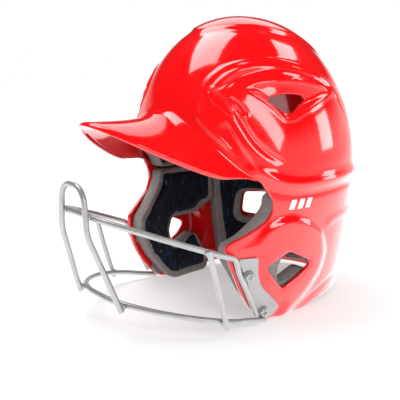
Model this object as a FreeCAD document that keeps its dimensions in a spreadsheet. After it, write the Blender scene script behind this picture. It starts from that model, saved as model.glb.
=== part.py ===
"""Batting helmet with two ear flaps and a wire face guard, in millimetres.

+Z is up, -Y is the way the wearer faces and +X is the wearer's left. The helmet stands on the
feet of its ear flaps at Z 0. Y 0 is halfway between the front of the guard and the back of the
shell. "Local" Y values are counted from the shell's own centre line, centre_y.
"""
import FreeCAD
import Part

import math
import os

Vector = FreeCAD.Vector
doc = FreeCAD.newDocument("batting_helmet")

# ---------------------------------------------------------------- driving sizes
SIZES = [
    # the moulded shell's outer form
    ("half_width", 98.0), ("brow_reach", 96.0), ("back_reach", 115.0),
    ("widest_z", 116.0), ("crown_z", 257.0), ("low_z", 20.0),
    ("flap_half_width", 84.0), ("flap_reach", 145.0), ("nape_reach", 111.0),
    ("section_power", 2.15), ("dome_power", 2.1), ("wall", 3.0),
    # the edge of the face opening, local Y and Z
    ("notch_y", -40.0), ("notch_z", 106.0), ("cheek_y", -77.0), ("cheek_z", 71.0),
    ("foot_front_y", -36.0), ("foot_back_y", 14.0), ("hem_z", 4.0),
    # brim
    ("brim_reach", 161.5), ("brim_join_y", -49.0), ("brim_join_z", 122.0), ("brow_rise", 44.0),
    ("rim_rise", 49.4), ("rim_reach_power", 1.85), ("rim_rise_power", 2.8),
    ("brim_wall", 3.2), ("brim_bead", 2.2),
    # openings in the shell
    ("vent_length", 45.0), ("vent_height", 16.0), ("vent_y", -16.0), ("vent_z", 185.5),
    ("ear_length", 48.0), ("ear_height", 33.0), ("ear_y", -20.0), ("ear_z", 46.0),
    ("rear_vent_width", 28.0), ("rear_vent_height", 26.0), ("rear_vent_angle", 37.0),
    ("rear_vent_z", 64.0), ("corner", 3.0),
    # padding
    ("pad_gap", 0.3), ("foam", 12.0), ("cover", 1.4), ("cover_gap", 0.3), ("cover_margin", 0.8),
    ("pad_split", 2.5), ("pad_margin", 3.0), ("pad_corner", 6.0), ("pad_low_z", 112.0),
    ("temple_front_y", -10.0), ("temple_back_y", 60.0), ("temple_height", 50.0),
    ("rear_pad_y", 38.0), ("rear_pad_gap", 12.0), ("rear_pad_z", 10.0), ("rear_vent_clear", 4.0),
    ("brow_pad_height", 34.0), ("crown_pad_arm", 34.0), ("crown_pad_half", 20.0),
    ("crown_pad_length", 56.0), ("crown_pad_corner", 10.0),
    # face guard
    ("wire", 4.8), ("guard_reach", 177.0), ("guard_rake", 0.385), ("guard_low_rake", 0.225),
    ("guard_top_z", 62.0), ("guard_low_z", 2.8), ("guard_flare", 8.6), ("guard_setback", 17.0),
    ("hoop_foot", 34.0), ("hoop_neck", 20.0), ("hoop_top_z", 123.0),
    ("weld_gap", 0.05), ("seat_gap", 0.3),
    ("plate", 2.0), ("plate_gap", 0.1),
    # fasteners
    ("screw_upper_y", -59.0), ("screw_upper_z", 46.0), ("screw_lower_y", -40.4), ("screw_lower_z", 11.0),
    ("shank", 4.8), ("shank_length", 9.6), ("head", 7.6), ("head_height", 2.6), ("recess", 1.3),
    ("recess_width", 1.3), ("recess_length", 4.8),
    ("washer", 10.4), ("washer_height", 1.6), ("washer_gap", 0.4), ("nut_flange", 15.0), ("nut_flange_height", 1.2),
    ("nut_barrel", 6.6), ("hole_gap", 0.1), ("nut_sink", 0.45),
    # side marks
    ("mark_height", 8.0), ("mark_width", 5.0), ("mark_pitch", 8.5), ("mark_slant", 3.0),
    ("mark_y", -14.0), ("mark_z", 103.0), ("mark_film", 0.3), ("mark_corner", 0.6),
]
sheet = doc.addObject("Spreadsheet::Sheet", "Sizes")
for row, (alias, value) in enumerate(SIZES, start=1):
    sheet.set(f"A{row}", alias)
    sheet.set(f"B{row}", str(value))
    sheet.setAlias(f"B{row}", alias)
doc.recompute()


def size(alias):
    """A driving size, read from the sheet."""
    return float(getattr(sheet, alias))


wall = size("wall")
wire_r = size("wire") / 2
centre_y = (size("guard_reach") - size("back_reach")) / 2
flap_foot_z = 0.0
side_reach = 1.3 * size("half_width")


# ---------------------------------------------------------------- the outer form
SECTION_POINTS = 36
LOW_LEVELS = 5
DOME_LEVELS = 13
LAST_DOME_ANGLE = 88.9


def section_reach(z, inset=0.0):
    """Half width, front reach and back reach of the form's level section at height z."""
    crown, widest, low = size("crown_z") - inset, size("widest_z"), size("low_z")
    half, front, back = size("half_width"), size("brow_reach"), size("back_reach")
    if z > widest:
        share = (z - widest) / (crown - widest)
        scale = max(1 - share ** size("dome_power"), 0) ** (1 / size("dome_power"))
        return (half - inset) * scale, (front - inset) * scale, (back - inset) * scale
    drop = min((widest - z) / (widest - low), 1.3)
    half += (size("flap_half_width") - half) * drop ** 1.8
    front += (size("flap_reach") - front) * drop ** 1.3
    back += (size("nape_reach") - back) * drop ** 2.2
    return half - inset, front - inset, back - inset


def form_point(angle, z, inset=0.0):
    """A point of the form: angle 0 is the front centre and +90 degrees the wearer's left."""
    half, front, back = section_reach(z, inset)
    along, across = math.cos(angle), math.sin(angle)
    power = 2 / size("section_power")
    reach = front if along > 0 else back
    x = half * math.copysign(abs(across) ** power, across)
    y = centre_y - reach * math.copysign(abs(along) ** power, along)
    return Vector(x, y, z)


def form_x(local_y, z, inset=0.0):
    """The form's X on the wearer's left at a local Y and a height."""
    half, front, back = section_reach(z, inset)
    reach = front if local_y < 0 else back
    power = size("section_power")
    share = min(abs(local_y) / reach, 1.0)
    return half * (1 - share ** power) ** (1 / power)


def form_normal(local_y, z):
    """The outward normal of the form's left side."""
    step = 0.5
    by_y = (form_x(local_y + step, z) - form_x(local_y - step, z)) / (2 * step)
    by_z = (form_x(local_y, z + step) - form_x(local_y, z - step)) / (2 * step)
    return Vector(1, -by_y, -by_z).normalize()


def form_levels(inset):
    """Heights of the lofted sections, closer together towards the crown."""
    widest, crown, bottom = size("widest_z"), size("crown_z") - inset, -12.0
    low = [bottom + (widest - bottom) * k / LOW_LEVELS for k in range(LOW_LEVELS)]
    step = math.radians(LAST_DOME_ANGLE) / (DOME_LEVELS - 1)
    return low + [widest + (crown - widest) * math.sin(k * step) for k in range(DOME_LEVELS)]


def form_solid(inset):
    """The whole form as one closed solid, shrunk all round by inset."""
    wires = []
    for z in form_levels(inset):
        points = [form_point(2 * math.pi * k / SECTION_POINTS, z, inset) for k in range(SECTION_POINTS)]
        curve = Part.BSplineCurve()
        curve.interpolate(Points=points, PeriodicFlag=True)
        wires.append(Part.Wire(curve.toShape()))
    return Part.makeLoft(wires, True, False)


# ---------------------------------------------------------------- document helpers
def add_shape(name, shape):
    """A shape worked out by Part's own functions, as an object of the document."""
    feature = doc.addObject("Part::Feature", name)
    feature.Shape = shape
    return feature


def add_cut(name, base, tool):
    cut = doc.addObject("Part::Cut", name)
    cut.Base, cut.Tool = base, tool
    return cut


def add_common(name, base, tool):
    common = doc.addObject("Part::Common", name)
    common.Base, common.Tool = base, tool
    return common


def add_mirror(name, source):
    """The same piece on the wearer's right."""
    mirror = doc.addObject("Part::Mirroring", name)
    mirror.Source = source
    mirror.Base = Vector(0, 0, 0)
    mirror.Normal = Vector(1, 0, 0)
    return mirror


def rounded_wire(points, radius, closed=True):
    """Straight runs through the points, joined by tangent arcs. radius is one value or one a corner."""
    count = len(points)
    radii = list(radius) if isinstance(radius, (list, tuple)) else [radius] * count
    corners = range(count) if closed else range(1, count - 1)
    starts, ends, arcs = {}, {}, {}
    for k in corners:
        corner = points[k]
        before, after = points[k - 1] - corner, points[(k + 1) % count] - corner
        turn = before.getAngle(after)
        room = 0.48 * min(before.Length, after.Length)
        if math.pi - turn < 0.01 or radii[k] < 0.05:
            starts[k] = ends[k] = corner
            continue
        setback = min(radii[k] / math.tan(turn / 2), room)
        true_radius = setback * math.tan(turn / 2)
        starts[k] = corner + before.normalize() * setback
        ends[k] = corner + after.normalize() * setback
        middle = (before + after).normalize()
        reach = true_radius / math.sin(turn / 2) - true_radius
        arcs[k] = Part.Arc(starts[k], corner + middle * reach, ends[k]).toShape()
    edges = []
    for k in range(count if closed else count - 1):
        following = (k + 1) % count
        start = ends.get(k, points[k])
        end = starts.get(following, points[following])
        if (end - start).Length > 1e-4:
            edges.append(Part.LineSegment(start, end).toShape())
        if following in arcs:
            edges.append(arcs[following])
    return Part.Wire(edges)


def side_point(local_y, z, x=0.0):
    return Vector(x, centre_y + local_y, z)


def side_prism(name, outline, near_x, depth, radius=0.0):
    """An outline of (local Y, Z) points in the side view, extruded along +X from near_x."""
    points = [side_point(y, z, near_x) for y, z in outline]
    face = add_shape(name + "_outline", Part.Face(rounded_wire(points, radius)))
    prism = doc.addObject("Part::Extrusion", name)
    prism.Base = face
    prism.DirMode = "Custom"
    prism.Dir = Vector(1, 0, 0)
    prism.LengthFwd = depth
    prism.Solid = True
    return prism


# ---------------------------------------------------------------- shell
def opening_edge():
    """(local Y, Z) points of the face opening's edge, from the brow down to the flap's foot."""
    notch_y, notch_z = size("notch_y"), size("notch_z")
    cheek_y, cheek_z = size("cheek_y"), size("cheek_z")
    foot_y, join_y, join_z = size("foot_front_y"), size("brim_join_y"), size("brim_join_z")
    brow_z = join_z + size("brow_rise")
    fall = cheek_z - flap_foot_z
    return [
        (-size("brow_reach") - 8, brow_z + 6), (-size("brow_reach") + 6, brow_z - 8),
        ((join_y - size("brow_reach")) / 2, (join_z + brow_z) / 2 - 4), (join_y, join_z - 3),
        (notch_y - 2, notch_z + 8), (notch_y, notch_z - 2), (notch_y - 6, notch_z - 14),
        ((notch_y + cheek_y) / 2 - 2, cheek_z + 11), (cheek_y + 6, cheek_z + 2.5),
        (cheek_y, cheek_z - 3), (cheek_y + 4, cheek_z - 0.24 * fall),
        (cheek_y + 14, cheek_z - 0.56 * fall), (cheek_y + 27, cheek_z - 0.84 * fall),
        (foot_y - 3, flap_foot_z + 3.5), (foot_y + 4, flap_foot_z),
    ]


def profile_face():
    """The shell's side view: everything above the hem and behind the face opening."""
    edge = [side_point(y, z, -side_reach) for y, z in opening_edge()]
    curve = Part.BSplineCurve()
    curve.interpolate(Points=edge)
    back, top, hem = size("back_reach") + 20, size("crown_z") + 20, size("hem_z")
    front = size("brow_reach") + 30
    rear_foot_y = size("nape_reach") - 16
    around = [
        edge[-1], side_point(size("foot_back_y"), flap_foot_z, -side_reach),
        side_point(size("foot_back_y") + 14, hem, -side_reach),
        side_point(rear_foot_y - 14, hem, -side_reach), side_point(rear_foot_y, flap_foot_z, -side_reach),
        side_point(back, flap_foot_z, -side_reach), side_point(back, top, -side_reach),
        side_point(-front, top, -side_reach), side_point(-front, edge[0].z, -side_reach), edge[0],
    ]
    runs = [Part.LineSegment(a, b).toShape() for a, b in zip(around[:-1], around[1:])]
    return Part.Face(Part.Wire([curve.toShape()] + runs))


BRIM_SECTIONS = 17
BRIM_END_ANGLE = 89.0


def brim_solid():
    """The brim: thin sections from inside the brow wall out to the rim, lofted from side to side."""
    join_y, join_z = size("brim_join_y"), size("brim_join_z")
    thick, bead = size("brim_wall"), size("brim_bead")
    join_x = form_x(join_y, join_z)
    root_angle_end = math.asin((join_x / section_reach(join_z)[0]) ** (size("section_power") / 2))
    down = Vector(0, 0, -thick)
    wires = []
    for k in range(BRIM_SECTIONS):
        share = -1 + 2 * k / (BRIM_SECTIONS - 1)
        angle = math.radians(BRIM_END_ANGLE) * share
        rim_y = join_y - (size("brim_reach") + join_y) * math.cos(angle) ** size("rim_reach_power")
        rim_z = join_z + size("rim_rise") * math.cos(angle) ** size("rim_rise_power")
        rim = Vector((join_x + bead) * math.sin(angle), centre_y + rim_y, rim_z)
        root_z = join_z + size("brow_rise") * math.cos(angle) ** 2 + 2.0
        root = form_point(root_angle_end * share, root_z, wall / 2)
        # the top of the brim sweeps down from the wall in a shallow hollow
        quarter = root + (rim - root) * 0.25 - Vector(0, 0, 2.2 * math.cos(angle))
        middle = root + (rim - root) * 0.6 - Vector(0, 0, 1.6 * math.cos(angle))
        upper = [root, quarter, middle, rim]
        lower = [p + down for p in reversed(upper)]
        wires.append(Part.makePolygon(upper + lower + [root]))
    return Part.makeLoft(wires, True, False)


def vent_outline(grow=0.0):
    """Side vent: flat and arched above, pointed below. (local Y, Z)"""
    y, z = size("vent_y"), size("vent_z")
    half, high = size("vent_length") / 2 + grow, size("vent_height") / 2 + grow
    return [(y - half, z + 0.25 * high), (y - 0.6 * half, z + 0.8 * high), (y + 0.1 * half, z + high),
            (y + half, z + 0.6 * high), (y + 0.05 * half, z - 0.85 * high), (y - 0.2 * half, z - high)]


def ear_outline(grow=0.0):
    """Ear hole: four sided, leaning forwards, with a bowed lower back edge. (local Y, Z)"""
    y, z = size("ear_y"), size("ear_z")
    half, high = size("ear_length") / 2 + grow, size("ear_height") / 2 + grow
    return [(y - half, z + 0.3 * high), (y - 0.08 * half, z + high), (y + half, z + 0.15 * high),
            (y + 0.42 * half, z - 0.5 * high), (y - 0.28 * half, z - high)]


def rear_vent_prism(name, grow=0.0):
    """Rear vent on the wearer's left: a rounded four sided prism that points out of the nape."""
    half_w, half_h = size("rear_vent_width") / 2 + grow, size("rear_vent_height") / 2 + grow
    turn = math.radians(size("rear_vent_angle"))
    out = Vector(math.sin(turn), math.cos(turn), 0)
    side = Vector(math.cos(turn), -math.sin(turn), 0)
    start = Vector(0, centre_y, size("rear_vent_z")) + out * 40
    outline = [(-half_w, half_h), (0.85 * half_w, half_h), (half_w, -0.7 * half_h), (-0.7 * half_w, -half_h)]
    points = [start + side * a + Vector(0, 0, b) for a, b in outline]
    face = Part.Face(rounded_wire(points, size("corner")))
    prism = doc.addObject("Part::Extrusion", name)
    prism.Base = add_shape(name + "_outline", face)
    prism.DirMode = "Custom"
    prism.Dir = out
    prism.setExpression("LengthFwd", "Sizes.back_reach")
    prism.Solid = True
    return prism


def screw_places():
    """(local Y, Z) of the two screws of one side, upper first."""
    return [(size("screw_upper_y"), size("screw_upper_z")), (size("screw_lower_y"), size("screw_lower_z"))]


def seat_placement(local_y, z, side=1):
    """A placement whose +Z leaves the flap along its normal; side -1 is the wearer's right."""
    point, normal = side_point(local_y, z, form_x(local_y, z)), form_normal(local_y, z)
    if side < 0:
        point, normal = Vector(-point.x, point.y, point.z), Vector(-normal.x, normal.y, normal.z)
    return FreeCAD.Placement(point, FreeCAD.Rotation(Vector(0, 0, 1), normal))


def flap_drill(name, diameter, low, high):
    """Four cylinders along the screw axes, from low to high outside the flap's face."""
    solids = []
    for side in (1, -1):
        for local_y, z in screw_places():
            solid = Part.makeCylinder(diameter / 2, high - low, Vector(0, 0, low))
            solid.Placement = seat_placement(local_y, z, side)
            solids.append(solid)
    return add_shape(name, Part.makeCompound(solids))


outer_form = form_solid(0)
inner_form = form_solid(wall)
profile = doc.addObject("Part::Extrusion", "shell_profile")
profile.Base = add_shape("shell_profile_outline", profile_face())
profile.DirMode = "Custom"
profile.Dir = Vector(1, 0, 0)
profile.LengthFwd = 2 * side_reach
profile.Solid = True
inner_block = add_shape("inner_form", inner_form)
dome = add_common("dome_block", add_shape("outer_form", outer_form), profile)
brim = add_cut("brim", add_shape("brim_blank", brim_solid()), inner_block)
hollow = doc.addObject("Part::MultiFuse", "shell_hollow")
hollow.Shapes = [add_cut("dome_hollow", dome, inner_block), brim]
vent = side_prism("side_vent", vent_outline(), -side_reach, 2 * side_reach, size("corner"))
ear = side_prism("ear_hole", ear_outline(), -side_reach, 2 * side_reach, size("corner"))
rear_left = rear_vent_prism("rear_vent_left")
rear_right = add_mirror("rear_vent_right", rear_left)
nut_bore = size("nut_barrel") + 2 * size("hole_gap")
holes = doc.addObject("Part::Compound", "shell_openings")
holes.Links = [vent, ear, rear_left, rear_right, flap_drill("nut_holes", nut_bore, -2 * wall, 2 * wall)]
shell = add_cut("shell", hollow, holes)


# ---------------------------------------------------------------- padding
pad_outer = wall + size("pad_gap")
pad_inner = pad_outer + size("foam")
cover_outer = pad_inner + size("cover_gap")
cover_inner = cover_outer + size("cover")
foam_layer = add_cut("foam_layer", add_shape("foam_outer", form_solid(pad_outer)),
                     add_shape("foam_inner", form_solid(pad_inner)))
cover_layer = add_cut("cover_layer", add_shape("cover_outer", form_solid(cover_outer)),
                      add_shape("cover_inner", form_solid(cover_inner)))


def jaw_outline():
    """Jaw pad: an open C round the ear, between the opening's edge and the back of the flap."""
    margin, low = size("pad_margin"), flap_foot_z + 1.0
    notch_y, notch_z = size("notch_y"), size("notch_z")
    cheek_y, cheek_z, foot_y = size("cheek_y"), size("cheek_z"), size("foot_front_y")
    ear_y, ear_z = size("ear_y"), size("ear_z")
    ear_front, ear_top = ear_y - 0.12 * size("ear_length"), ear_z + 0.48 * size("ear_height")
    ear_low, arm_y = ear_z - 0.42 * size("ear_height"), ear_y + 0.55 * size("ear_length")
    rear_y, top = size("rear_pad_y") - size("pad_split") - 2, size("pad_low_z")
    return [
        (notch_y + margin, top), (notch_y + margin, notch_z - 4), (notch_y - 3, notch_z - 14),
        ((notch_y + cheek_y) / 2, cheek_z + 6), (cheek_y + 2 * margin, cheek_z - 2),
        (cheek_y + 2 * margin + 1, cheek_z - 16), (cheek_y + 21, cheek_z - 42), (foot_y, low + 3),
        (foot_y + 8, low), (size("foot_back_y"), low + 2), (size("foot_back_y") + 3, low + 14),
        (arm_y, ear_low + 12), (ear_y + 4, ear_low + 1), (ear_front, ear_low), (ear_front - 2, ear_z + 3),
        (ear_front + 4, ear_top), (arm_y + 2, ear_top), (rear_y, cheek_z + 4), (rear_y, top),
    ]


def temple_outline():
    """Temple pad: the side wall above the jaw pad, behind the brow pad."""
    low, front = size("pad_low_z") + size("pad_split"), size("temple_front_y") + size("pad_split")
    back, high = size("temple_back_y"), size("pad_low_z") + size("pad_split") + size("temple_height")
    return [(front, low), (back, low), (back, high), (front, high)]


def rear_outline():
    """Rear pad in the side view, one each side of the nape's centre line."""
    front, back = size("rear_pad_y"), size("back_reach")
    low, high = size("rear_pad_z"), size("pad_low_z")
    return [(front, low), (back, low), (back, high), (front, high)]


def crown_outline():
    """Crown pad in plan: a rounded cross. (X, local Y)"""
    arm, half, length = size("crown_pad_arm"), size("crown_pad_half"), size("crown_pad_length")
    return [(-half, -length), (half, -length), (half, -half), (arm, -half), (arm, half), (half, half),
            (half, length), (-half, length), (-half, half), (-arm, half), (-arm, -half), (-half, -half)]


def brow_prism(name, margin):
    """Brow pad's side view: a band round the forehead that drops to the temples at both ends."""
    join_y, join_z, rise = size("brim_join_y"), size("brim_join_z"), size("brow_rise")
    low = size("pad_low_z") + size("pad_split") + margin
    end_top = size("pad_low_z") + size("pad_split") + size("temple_height") - margin
    reach, brow_z = size("brow_reach"), join_z + rise
    back, top = size("temple_front_y") - margin, brow_z + size("brow_pad_height") - margin
    outline = [(back, low), (size("notch_y") + 4, low), (join_y + 6, join_z + 4 + margin),
               (-0.72 * reach, join_z + 0.52 * rise + margin), (-reach - 10, brow_z + margin),
               (-reach - 10, top), (-0.5 * reach, top - 4), (back, end_top)]
    return side_prism(name, outline, -side_reach, 2 * side_reach, size("pad_corner"))


def add_pad(name, layer, prism, tools=()):
    """A piece of a padding layer inside a prism, less any cutting tools."""
    piece = add_common(name if not tools else name + "_blank", layer, prism)
    for k, tool in enumerate(tools):
        last = k == len(tools) - 1
        piece = add_cut(name if last else f"{name}_blank{k + 2}", piece, tool)
    return piece


near_x, cover_margin = size("rear_pad_gap") / 2, size("cover_margin")
pad_round = size("pad_corner")
nut_pocket = flap_drill("nut_pockets", size("nut_flange") + 3, -wall - 7.0, 2 * wall)
rear_vent_clear = rear_vent_prism("rear_vent_clear", size("rear_vent_clear"))
pads = {}


def inset_outline(outline, margin):
    """The outline drawn in by margin: each corner moves along its own bisector."""
    moved = []
    for k, (y, z) in enumerate(outline):
        before, after = outline[k - 1], outline[(k + 1) % len(outline)]
        one, two = Vector(y - before[0], z - before[1], 0), Vector(after[0] - y, after[1] - z, 0)
        one.normalize()
        two.normalize()
        area = sum(a[0] * b[1] - b[0] * a[1] for a, b in zip(outline, outline[1:] + outline[:1]))
        side = 1 if area > 0 else -1
        inward = Vector(-(one.y + two.y), one.x + two.x, 0).normalize() * side
        moved.append((y + inward.x * margin, z + inward.y * margin))
    return moved


for kind, outline in (("jaw", jaw_outline()), ("temple", temple_outline()), ("rear", rear_outline())):
    core_prism = side_prism(f"{kind}_prism", outline, near_x, side_reach, pad_round)
    face_prism = side_prism(f"{kind}_cover_prism", inset_outline(outline, cover_margin), near_x, side_reach,
                            pad_round)
    tools = {"jaw": [nut_pocket], "temple": [], "rear": [rear_vent_clear]}[kind]
    cover_tools = tools if kind == "rear" else []
    left_core = add_pad(f"left_{kind}_pad", foam_layer, core_prism, tools)
    left_cover = add_pad(f"left_{kind}_pad_cover", cover_layer, face_prism, cover_tools)
    pads[left_core.Name], pads[left_cover.Name] = left_core, left_cover
    for piece in (left_core, left_cover):
        right_name = piece.Name.replace("left", "right")
        pads[right_name] = add_mirror(right_name, piece)

pads["brow_pad"] = add_pad("brow_pad", foam_layer, brow_prism("brow_prism", 0.0))
pads["brow_pad_cover"] = add_pad("brow_pad_cover", cover_layer, brow_prism("brow_cover_prism", cover_margin))


def crown_prism(name, margin):
    points = [Vector(x, centre_y + y, size("widest_z")) for x, y in inset_outline(crown_outline(), margin)]
    prism = doc.addObject("Part::Extrusion", name)
    prism.Base = add_shape(name + "_outline", Part.Face(rounded_wire(points, size("crown_pad_corner"))))
    prism.DirMode = "Custom"
    prism.Dir = Vector(0, 0, 1)
    prism.setExpression("LengthFwd", "Sizes.crown_z")
    prism.Solid = True
    return prism


pads["crown_pad"] = add_pad("crown_pad", foam_layer, crown_prism("crown_prism", 0.0))
pads["crown_pad_cover"] = add_pad("crown_pad_cover", cover_layer,
                                  crown_prism("crown_cover_prism", cover_margin))


# ---------------------------------------------------------------- face guard
def guard_z(local_y, start_z, rake, start_y):
    """Height of a raked guard wire at a local Y."""
    return start_z + rake * (start_y - local_y)


def plate_front(z):
    """Local Y of the side plate's front edge at height z: just clear of both cup washers."""
    clear = size("washer") / 2 + size("washer_gap")
    rise = size("screw_upper_z") - size("screw_lower_z")
    slope = (size("screw_lower_y") - size("screw_upper_y")) / rise
    above_upper = z - size("screw_upper_z")
    lean = slope * above_upper if above_upper < 0 else 0.5 * slope * above_upper
    return size("screw_upper_y") - clear - lean


def plate_outline():
    """Side plate: a crescent, straight in front along the wire and hollow behind. (local Y, Z)"""
    low, top = flap_foot_z + 1.2, size("guard_top_z")
    upper_y, upper_z = size("screw_upper_y"), size("screw_upper_z")
    lower_y, lower_z = size("screw_lower_y"), size("screw_lower_z")
    edge = size("washer") / 2 + 1.5
    return [(plate_front(top), top - 1), (upper_y + edge, top - 1), (upper_y + edge + 1, upper_z),
            (upper_y + edge + 5, upper_z - 11), (lower_y + edge, lower_z + 11), (lower_y + 18, lower_z),
            (lower_y + 12, low + 3), (lower_y + 2, low), (plate_front(low + 4), low + 3),
            (plate_front(top / 2), top / 2)]


PLATE_RADII = [2, 2, 20, 30, 30, 2, 8, 8, 5, 60]


def lower_wall_layer(name, low, high):
    """A layer outside the lower half of the shell, from low to high above its face."""
    return add_cut(name, add_shape(name + "_out", form_solid(-high)), add_shape(name + "_in", form_solid(-low)))


plate_layer = lower_wall_layer("plate_layer", size("plate_gap"), size("plate_gap") + size("plate"))
plate_prism = side_prism("plate_prism", plate_outline(), near_x, side_reach, PLATE_RADII)
plate_blank = add_common("plate_blank", plate_layer, plate_prism)
plate_drill = flap_drill("plate_holes", size("shank") + 4 * size("hole_gap"), -2 * wall, 3 * wall)
left_plate = add_cut("left_side_plate", plate_blank, plate_drill)
right_plate = add_mirror("right_side_plate", left_plate)


def add_wire(name, points, radii):
    """A round wire along straight runs and tangent arcs: a circle swept by Part's own sweep."""
    path = add_shape(name + "_path", rounded_wire(points, radii, closed=False))
    circle = doc.addObject("Part::Circle", name + "_section")
    circle.setExpression("Radius", "Sizes.wire / 2")
    circle.Placement = FreeCAD.Placement(points[0], FreeCAD.Rotation(Vector(0, 0, 1), points[1] - points[0]))
    sweep = doc.addObject("Part::Sweep", name)
    sweep.Sections = [circle]
    sweep.Spine = (path, [f"Edge{k + 1}" for k in range(len(path.Shape.Edges))])
    sweep.Solid = True
    sweep.Frenet = False
    return sweep


def mirrored(points):
    """The points, then the same points on the other side in reverse order."""
    return points + [Vector(-p.x, p.y, p.z) for p in reversed(points)]


leg_offset = wire_r + size("seat_gap")
top_start_y = plate_front(size("guard_top_z")) - leg_offset
low_start_y = size("screw_lower_y") - 2
plate_face = size("plate_gap") + size("plate")
guard_front = -size("guard_reach") + 1.5 * size("wire") + size("weld_gap")
half_guard = form_x(top_start_y, size("guard_top_z")) + size("guard_flare")
# both guard wires share one plan: (share of the half width, distance behind the front centre)
GUARD_PLAN = [(0.985, 82), (0.965, 68), (0.90, 52), (0.79, 36), (0.62, 20), (0.42, 8), (0.18, 0.5)]


def guard_run(front, start_z, rake, start_y):
    """The part of a guard wire that runs round in front of the face, from the wearer's left."""
    points = []
    for share, behind in GUARD_PLAN:
        local_y = front + behind
        points.append(side_point(local_y, guard_z(local_y, start_z, rake, start_y), share * half_guard))
    return points


def top_wire_points():
    """Top wire: down along the side plate, then raked forwards round the front."""
    leg = []
    for z in (size("guard_low_z") + 2 * wire_r + 2, 0.5 * size("guard_top_z"), 0.8 * size("guard_top_z")):
        local_y = plate_front(z) - leg_offset
        leg.append(side_point(local_y, z, form_x(local_y, z) + leg_offset + size("seat_gap")))
    corner_x = form_x(top_start_y, size("guard_top_z")) + leg_offset + 1.5
    corner = side_point(top_start_y, size("guard_top_z"), corner_x)
    return leg + [corner] + guard_run(guard_front, size("guard_top_z"), size("guard_rake"), top_start_y)


def low_wire_points():
    """Bottom wire: from the foot of the side plate, raked forwards round the chin."""
    start_x = form_x(low_start_y, size("guard_low_z")) + plate_face + wire_r + size("weld_gap")
    start = side_point(low_start_y + 4, size("guard_low_z") - 4 * size("guard_low_rake"), start_x)
    bend_z = guard_z(low_start_y - 16, size("guard_low_z"), size("guard_low_rake"), low_start_y)
    bend = side_point(low_start_y - 16, bend_z, start_x + 0.5)
    front = guard_front + size("guard_setback")
    run = guard_run(front, size("guard_low_z"), size("guard_low_rake"), low_start_y)
    return [start, bend] + run


def wire_at(points, x):
    """The point of a guard wire's straight runs at a given X."""
    for one, two in zip(points[:-1], points[1:]):
        if two.x <= x <= one.x:
            return one + (two - one) * ((one.x - x) / max(one.x - two.x, 1e-6))
    return Vector(x, points[-1].y, points[-1].z)


top_points, low_points = top_wire_points(), low_wire_points()
bends = [45] * len(GUARD_PLAN)
top_radii, low_radii = [0, 60, 30, 9] + bends, [0, 60] + bends
top_wire = add_wire("top_wire", mirrored(top_points), top_radii + top_radii[::-1])
bottom_wire = add_wire("bottom_wire", mirrored(low_points), low_radii + low_radii[::-1])

# the hoop and the side bars stand outside both wires, one wire away
apart = size("wire") + size("weld_gap")
hoop_foot, hoop_neck = size("hoop_foot"), size("hoop_neck")
foot, neck = wire_at(low_points, hoop_foot), wire_at(top_points, hoop_neck)
hoop_points = [
    foot + Vector(0, -apart - 0.8, -wire_r - 2), neck + Vector(1.2, -apart - 0.3, -14),
    Vector(hoop_neck - 2.5, neck.y - apart - 0.3, size("hoop_top_z")),
]
centre_hoop = add_wire("centre_hoop", mirrored(hoop_points), [0, 40, 15, 15, 40, 0])


def side_bar_points():
    """Side bar: from the top wire's shoulder down past the outside of the bottom wire."""
    shoulder, elbow = top_points[5], low_points[3]
    outwards = Vector(0.93, -0.37, 0) * (apart + 0.25)
    upper, lower = shoulder + outwards, elbow + outwards
    along = (upper - lower).normalize()
    bow = Vector(1.0, -0.4, 0)
    return [upper + along * wire_r, (upper + lower) * 0.5 + bow, lower - along * (wire_r + 2.5)]


left_side_bar = add_wire("left_side_bar", side_bar_points(), [0, 90, 0])
right_side_bar = add_mirror("right_side_bar", left_side_bar)


# ---------------------------------------------------------------- fasteners
def origin_plane(body, role):
    return next(f for f in body.Origin.OriginFeatures if f.Role == role)


def add_sketch(body, name, role, lines):
    """A closed sketch of straight lines on one of the body's origin planes."""
    sketch = body.newObject("Sketcher::SketchObject", name)
    sketch.AttachmentSupport = (origin_plane(body, role), [""])
    sketch.MapMode = "FlatFace"
    for start, end in zip(lines, lines[1:] + lines[:1]):
        sketch.addGeometry(Part.LineSegment(Vector(*start, 0), Vector(*end, 0)), False)
    return sketch


def revolve_body(name, half_section):
    """A turned piece: the (radius, height) half section revolved about the vertical axis."""
    body = doc.addObject("PartDesign::Body", name)
    sketch = add_sketch(body, name + "_half_section", "XZ_Plane", half_section)
    turned = body.newObject("PartDesign::Revolution", name + "_turned")
    turned.Profile = sketch
    turned.ReferenceAxis = (sketch, ["V_Axis"])
    turned.Angle = 360.0
    return body


def place_four(name, master):
    """Four separate solids of one master piece, two on each ear flap, in one node."""
    copies = []
    for side in (1, -1):
        for local_y, z in screw_places():
            solid = master.Shape.copy()
            solid.Placement = seat_placement(local_y, z, side).multiply(solid.Placement)
            copies.append(solid)
    return add_shape(name, Part.makeCompound(copies))


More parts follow.
